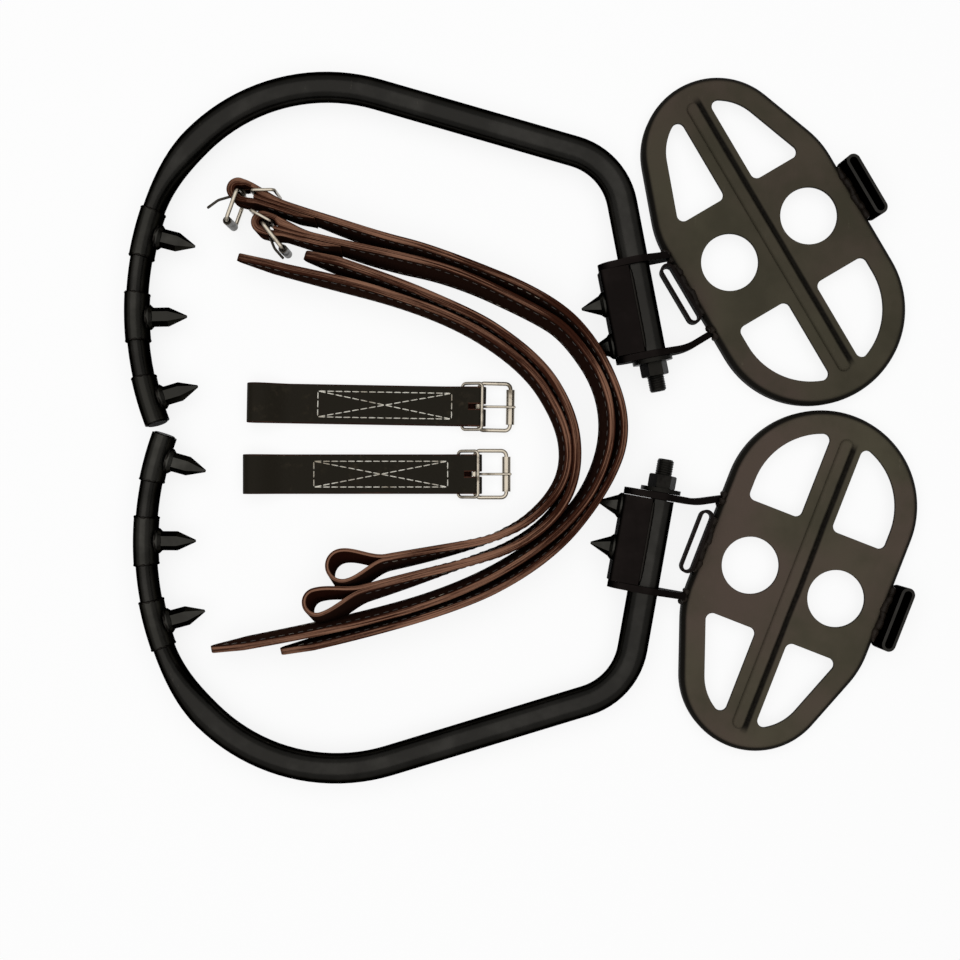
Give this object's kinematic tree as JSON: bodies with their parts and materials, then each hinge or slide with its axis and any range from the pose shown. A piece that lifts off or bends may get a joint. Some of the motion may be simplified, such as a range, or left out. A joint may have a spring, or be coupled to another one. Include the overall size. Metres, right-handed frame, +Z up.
{
  "type": "pole climber set",
  "caption": "Mirrored pair of steel pole climbers: spiked tube hoops with swinging pressed footplates, laid flat with leather foot straps and roller buckles.",
  "frame": {"origin": "middle of the set's outline, on the floor that it lies on", "axes": "+Z up, +X from the hoop tips towards the footplates, +Y from the right climber towards the left one"},
  "size_m": [0.5956, 0.5323, 0.0387],
  "materials": {
    "tube_paint": "satin black paint",
    "plate_paint": "warm black paint, slightly worn",
    "hardware": "blackened steel",
    "leather": "black faces, brown cut edges, pale stitching",
    "nickel": "nickel-plated wire"
  },
  "bodies": {
    "hoops_and_straps": {"left_hoop_tube": "tube_paint", "left_tip_sleeve": "tube_paint", "left_middle_sleeve": "tube_paint", "left_rear_sleeve": "tube_paint", "left_tip_plug": "tube_paint", "left_tip_spikes": "tube_paint", "left_spike_channel": "tube_paint", "left_channel_spikes": "tube_paint", "left_pivot_stud": "hardware", "left_pivot_washer": "hardware", "left_pivot_nut": "hardware", "right_hoop_tube": "tube_paint", "right_tip_sleeve": "tube_paint", "right_middle_sleeve": "tube_paint", "right_rear_sleeve": "tube_paint", "right_tip_plug": "tube_paint", "right_tip_spikes": "tube_paint", "right_spike_channel": "tube_paint", "right_channel_spikes": "tube_paint", "right_pivot_stud": "hardware", "right_pivot_washer": "hardware", "right_pivot_nut": "hardware", "outer_buckle_strap": "leather", "second_buckle_strap": "leather", "third_loop_strap": "leather", "inner_loop_strap": "leather", "upper_short_strap": "leather", "lower_short_strap": "leather"},
    "left_step": {"left_footplate": "plate_paint", "left_upper_arm": "plate_paint", "left_lower_arm": "plate_paint", "left_inner_strap_loop": "plate_paint", "left_outer_strap_loop": "plate_paint"},
    "right_step": {"right_footplate": "plate_paint", "right_upper_arm": "plate_paint", "right_lower_arm": "plate_paint", "right_inner_strap_loop": "plate_paint", "right_outer_strap_loop": "plate_paint"},
    "outer_buckle_frame": {"outer_buckle_frame": "nickel"},
    "outer_buckle_roller": {"outer_buckle_roller": "nickel"},
    "outer_buckle_prong": {"outer_buckle_prong": "nickel"},
    "outer_buckle_keeper": {"outer_buckle_keeper": "nickel"},
    "second_buckle_frame": {"second_buckle_frame": "nickel"},
    "second_buckle_roller": {"second_buckle_roller": "nickel"},
    "second_buckle_prong": {"second_buckle_prong": "nickel"},
    "second_buckle_keeper": {"second_buckle_keeper": "nickel"},
    "upper_short_frame": {"upper_short_frame": "nickel"},
    "upper_short_roller": {"upper_short_roller": "nickel"},
    "upper_short_prong": {"upper_short_prong": "nickel"},
    "upper_short_keeper": {"upper_short_keeper": "nickel"},
    "lower_short_frame": {"lower_short_frame": "nickel"},
    "lower_short_roller": {"lower_short_roller": "nickel"},
    "lower_short_prong": {"lower_short_prong": "nickel"},
    "lower_short_keeper": {"lower_short_keeper": "nickel"}
  },
  "joints": [
    {"name": "left_step_swing", "type": "hinge", "parent": "hoops_and_straps", "child": "left_step", "pos_m": [0.09, 0.0868, 0.0156], "axis": [0.1891, -0.982, 0], "range_deg": [0, 100]},
    {"name": "right_step_swing", "type": "hinge", "parent": "hoops_and_straps", "child": "right_step", "pos_m": [0.09661, -0.08349, 0.0156], "axis": [-0.1754, -0.9845, 0], "range_deg": [0, 80]},
    {"name": "outer_buckle_frame_turn", "type": "hinge", "parent": "hoops_and_straps", "child": "outer_buckle_frame", "pos_m": [-0.21003, 0.17461, 0.0196], "axis": [0, -0.0135, 0.9999], "range_deg": [-85, 20]},
    {"name": "outer_buckle_prong_turn", "type": "hinge", "parent": "outer_buckle_frame", "child": "outer_buckle_prong", "pos_m": [-0.21003, 0.17461, 0.0196], "axis": [0, -0.0135, 0.9999], "range_deg": [-40, 35]},
    {"name": "outer_buckle_roller_spin", "type": "hinge", "parent": "outer_buckle_frame", "child": "outer_buckle_roller", "pos_m": [-0.21824, 0.15206, 0.01929], "axis": [0, -0.0135, 0.9999], "continuous": true},
    {"name": "outer_buckle_keeper_turn", "type": "hinge", "parent": "hoops_and_straps", "child": "outer_buckle_keeper", "pos_m": [-0.20025, 0.17393, 0.01879], "axis": [0, -0.0135, 0.9999], "range_deg": [-6, 100]},
    {"name": "second_buckle_frame_turn", "type": "hinge", "parent": "hoops_and_straps", "child": "second_buckle_frame", "pos_m": [-0.19203, 0.15029, 0.0196], "axis": [0, -0.0146, 0.9999], "range_deg": [-5, 6]},
    {"name": "second_buckle_prong_turn", "type": "hinge", "parent": "second_buckle_frame", "child": "second_buckle_prong", "pos_m": [-0.19203, 0.15029, 0.0196], "axis": [0, -0.0146, 0.9999], "range_deg": [-5, 0]},
    {"name": "second_buckle_roller_spin", "type": "hinge", "parent": "second_buckle_frame", "child": "second_buckle_roller", "pos_m": [-0.17725, 0.13138, 0.01932], "axis": [0, -0.0146, 0.9999], "continuous": true},
    {"name": "second_buckle_keeper_turn", "type": "hinge", "parent": "hoops_and_straps", "child": "second_buckle_keeper", "pos_m": [-0.18601, 0.15121, 0.01881], "axis": [0, -0.0146, 0.9999], "range_deg": [-8, 5]},
    {"name": "upper_short_frame_turn", "type": "hinge", "parent": "hoops_and_straps", "child": "upper_short_frame", "pos_m": [-0.03303, 0.01634, 0.0055], "axis": [-0.0175, -0.9998, 0], "range_deg": [0, 35]},
    {"name": "upper_short_prong_turn", "type": "hinge", "parent": "upper_short_frame", "child": "upper_short_prong", "pos_m": [-0.03303, 0.01634, 0.0055], "axis": [-0.0175, -0.9998, 0], "range_deg": [0, 35]},
    {"name": "upper_short_roller_spin", "type": "hinge", "parent": "upper_short_frame", "child": "upper_short_roller", "pos_m": [-0.00914, 0.01592, 0.0032], "axis": [-0.0175, -0.9998, 0], "continuous": true},
    {"name": "upper_short_keeper_turn", "type": "hinge", "parent": "hoops_and_straps", "child": "upper_short_keeper", "pos_m": [-0.04563, 0.01656, 0.0044], "axis": [-0.0175, -0.9998, 0], "range_deg": [0, 100]},
    {"name": "lower_short_frame_turn", "type": "hinge", "parent": "hoops_and_straps", "child": "lower_short_frame", "pos_m": [-0.03603, -0.03466, 0.0055], "axis": [0, -1, 0], "range_deg": [0, 35]},
    {"name": "lower_short_prong_turn", "type": "hinge", "parent": "lower_short_frame", "child": "lower_short_prong", "pos_m": [-0.03603, -0.03466, 0.0055], "axis": [0, -1, 0], "range_deg": [0, 35]},
    {"name": "lower_short_roller_spin", "type": "hinge", "parent": "lower_short_frame", "child": "lower_short_roller", "pos_m": [-0.01214, -0.03466, 0.0032], "axis": [0, -1, 0], "continuous": true},
    {"name": "lower_short_keeper_turn", "type": "hinge", "parent": "hoops_and_straps", "child": "lower_short_keeper", "pos_m": [-0.04863, -0.03466, 0.0044], "axis": [0, -1, 0], "range_deg": [0, 100]}
  ]
}
